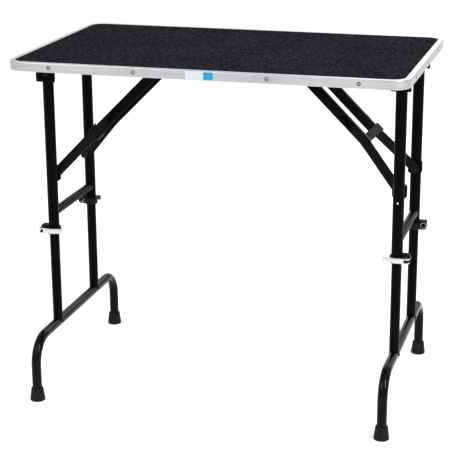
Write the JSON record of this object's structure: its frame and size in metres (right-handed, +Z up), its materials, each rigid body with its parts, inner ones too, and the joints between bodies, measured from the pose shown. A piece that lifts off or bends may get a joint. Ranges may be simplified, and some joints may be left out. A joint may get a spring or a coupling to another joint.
{
  "type": "folding grooming table",
  "caption": "Folding grooming table: rounded rectangular rubber-topped board with metal edge trim on telescoping black tube legs with folding braces and quick-release clamps.",
  "frame": {"origin": "on the floor, under the middle of the top", "axes": "+Z up, +X to the right-hand end of the top, -Y to its front edge"},
  "size_m": [0.9176, 0.5722, 0.824],
  "materials": {
    "board": "satin",
    "mat_rubber": "matte",
    "trim_aluminium": "satin",
    "screw_steel": "polished",
    "pin_black": "satin",
    "label_white": "gloss",
    "frame_black": "semi-gloss",
    "collar_black": "matte",
    "lever_silver": "satin",
    "foot_rubber": "matte",
    "lock_grey": "satin"
  },
  "bodies": {
    "tabletop": {"table_board": "board", "rubber_mat": "mat_rubber", "edge_trim": "trim_aluminium", "trim_screws": "screw_steel", "blank_label": "label_white", "bracket_screws": "screw_steel", "brace_pins": "pin_black", "left_hinge_pins": "pin_black", "left_front_hinge_bracket": "frame_black", "left_front_brace_bracket": "frame_black", "left_rear_hinge_bracket": "frame_black", "left_rear_brace_bracket": "frame_black", "right_hinge_pins": "pin_black", "right_front_hinge_bracket": "frame_black", "right_front_brace_bracket": "frame_black", "right_rear_hinge_bracket": "frame_black", "right_rear_brace_bracket": "frame_black"},
    "left_front_lever": {"left_front_clamp_lever": "lever_silver"},
    "left_front_strut": {"left_front_brace_strut": "frame_black"},
    "left_front_link": {"left_front_brace_link": "frame_black"},
    "left_rear_lever": {"left_rear_clamp_lever": "lever_silver"},
    "left_rear_strut": {"left_rear_brace_strut": "frame_black"},
    "left_rear_link": {"left_rear_brace_link": "frame_black"},
    "left_upper_leg": {"left_crossbar": "frame_black", "left_clamp_bolts": "pin_black", "left_brace_lugs": "frame_black", "left_lug_pins": "pin_black", "left_front_upper_tube": "frame_black", "left_front_clamp_collar": "collar_black", "left_rear_upper_tube": "frame_black", "left_rear_clamp_collar": "collar_black"},
    "left_lower_leg": {"left_foot_bar": "frame_black", "left_bar_rivets": "pin_black", "left_front_lower_tube": "frame_black", "left_front_rubber_foot": "foot_rubber", "left_rear_lower_tube": "frame_black", "left_rear_rubber_foot": "foot_rubber"},
    "right_front_lever": {"right_front_clamp_lever": "lever_silver"},
    "right_front_strut": {"right_front_brace_strut": "frame_black"},
    "right_front_link": {"right_front_brace_link": "frame_black"},
    "right_rear_lever": {"right_rear_clamp_lever": "lever_silver"},
    "right_rear_strut": {"right_rear_brace_strut": "frame_black"},
    "right_rear_link": {"right_rear_brace_link": "frame_black"},
    "right_upper_leg": {"right_crossbar": "frame_black", "right_clamp_bolts": "pin_black", "right_brace_lugs": "frame_black", "right_lug_pins": "pin_black", "right_front_upper_tube": "frame_black", "right_front_clamp_collar": "collar_black", "right_rear_upper_tube": "frame_black", "right_rear_clamp_collar": "collar_black"},
    "right_lower_leg": {"right_foot_bar": "frame_black", "right_bar_rivets": "pin_black", "right_front_lower_tube": "frame_black", "right_front_rubber_foot": "foot_rubber", "right_rear_lower_tube": "frame_black", "right_rear_rubber_foot": "foot_rubber"},
    "left_front_lock": {"left_front_brace_lock": "lock_grey"},
    "right_rear_lock": {"right_rear_brace_lock": "lock_grey"}
  },
  "joints": [
    {"name": "left_leg_fold", "type": "hinge", "parent": "tabletop", "child": "left_upper_leg", "pos_m": [-0.4185, 0, 0.77], "axis": [0, -1, 0], "range_deg": [0, 72]},
    {"name": "left_leg_slide", "type": "slide", "parent": "left_upper_leg", "child": "left_lower_leg", "axis": [0, 0, 1], "range_m": [-0.15, 0.13]},
    {"name": "left_front_lever_turn", "type": "hinge", "parent": "left_upper_leg", "child": "left_front_lever", "pos_m": [-0.4425, -0.141, 0.3875], "axis": [0, 0, -1], "range_deg": [0, 120]},
    {"name": "left_front_strut_swing", "type": "hinge", "parent": "tabletop", "child": "left_front_strut", "pos_m": [-0.1755, -0.0607, 0.77], "axis": [0, -1, 0], "range_deg": [-28.35, 0]},
    {"name": "left_front_link_swing", "type": "hinge", "parent": "left_upper_leg", "child": "left_front_link", "pos_m": [-0.4185, -0.105, 0.518], "axis": [0, -1, 0], "range_deg": [0, 43.98]},
    {"name": "left_front_lock_slide", "type": "slide", "parent": "left_front_strut", "child": "left_front_lock", "axis": [0.7083, 0, 0.7059], "range_m": [0, 0.045]},
    {"name": "left_rear_lever_turn", "type": "hinge", "parent": "left_upper_leg", "child": "left_rear_lever", "pos_m": [-0.4425, 0.141, 0.3935], "axis": [0, 0, 1], "range_deg": [0, 120]},
    {"name": "left_rear_strut_swing", "type": "hinge", "parent": "tabletop", "child": "left_rear_strut", "pos_m": [-0.1755, 0.0607, 0.77], "axis": [0, -1, 0], "range_deg": [-28.35, 0]},
    {"name": "left_rear_link_swing", "type": "hinge", "parent": "left_upper_leg", "child": "left_rear_link", "pos_m": [-0.4185, 0.105, 0.518], "axis": [0, -1, 0], "range_deg": [0, 43.98]},
    {"name": "right_leg_fold", "type": "hinge", "parent": "tabletop", "child": "right_upper_leg", "pos_m": [0.4185, 0, 0.787], "axis": [0, 1, 0], "range_deg": [0, 80]},
    {"name": "right_leg_slide", "type": "slide", "parent": "right_upper_leg", "child": "right_lower_leg", "axis": [0, 0, 1], "range_m": [-0.15, 0.13]},
    {"name": "right_front_lever_turn", "type": "hinge", "parent": "right_upper_leg", "child": "right_front_lever", "pos_m": [0.4425, -0.141, 0.3845], "axis": [0, 0, 1], "range_deg": [0, 120]},
    {"name": "right_front_strut_swing", "type": "hinge", "parent": "tabletop", "child": "right_front_strut", "pos_m": [0.1755, -0.0607, 0.787], "axis": [0, 1, 0], "range_deg": [-31.48, 0]},
    {"name": "right_front_link_swing", "type": "hinge", "parent": "right_upper_leg", "child": "right_front_link", "pos_m": [0.4185, -0.105, 0.535], "axis": [0, 1, 0], "range_deg": [0, 48.84]},
    {"name": "right_rear_lever_turn", "type": "hinge", "parent": "right_upper_leg", "child": "right_rear_lever", "pos_m": [0.4425, 0.141, 0.3915], "axis": [0, 0, -1], "range_deg": [0, 120]},
    {"name": "right_rear_strut_swing", "type": "hinge", "parent": "tabletop", "child": "right_rear_strut", "pos_m": [0.1755, 0.0607, 0.787], "axis": [0, 1, 0], "range_deg": [-31.48, 0]},
    {"name": "right_rear_link_swing", "type": "hinge", "parent": "right_upper_leg", "child": "right_rear_link", "pos_m": [0.4185, 0.105, 0.535], "axis": [0, 1, 0], "range_deg": [0, 48.84]},
    {"name": "right_rear_lock_slide", "type": "slide", "parent": "right_rear_strut", "child": "right_rear_lock", "axis": [-0.7083, 0, 0.7059], "range_m": [0, 0.045]}
  ],
  "couplings": [
    {"joint": "left_front_strut_swing", "follows": "left_leg_fold", "ratio": -0.391},
    {"joint": "left_front_link_swing", "follows": "left_leg_fold", "ratio": 0.608},
    {"joint": "left_rear_strut_swing", "follows": "left_leg_fold", "ratio": -0.391},
    {"joint": "left_rear_link_swing", "follows": "left_leg_fold", "ratio": 0.608},
    {"joint": "right_front_strut_swing", "follows": "right_leg_fold", "ratio": -0.391},
    {"joint": "right_front_link_swing", "follows": "right_leg_fold", "ratio": 0.608},
    {"joint": "right_rear_strut_swing", "follows": "right_leg_fold", "ratio": -0.391},
    {"joint": "right_rear_link_swing", "follows": "right_leg_fold", "ratio": 0.608}
  ]
}
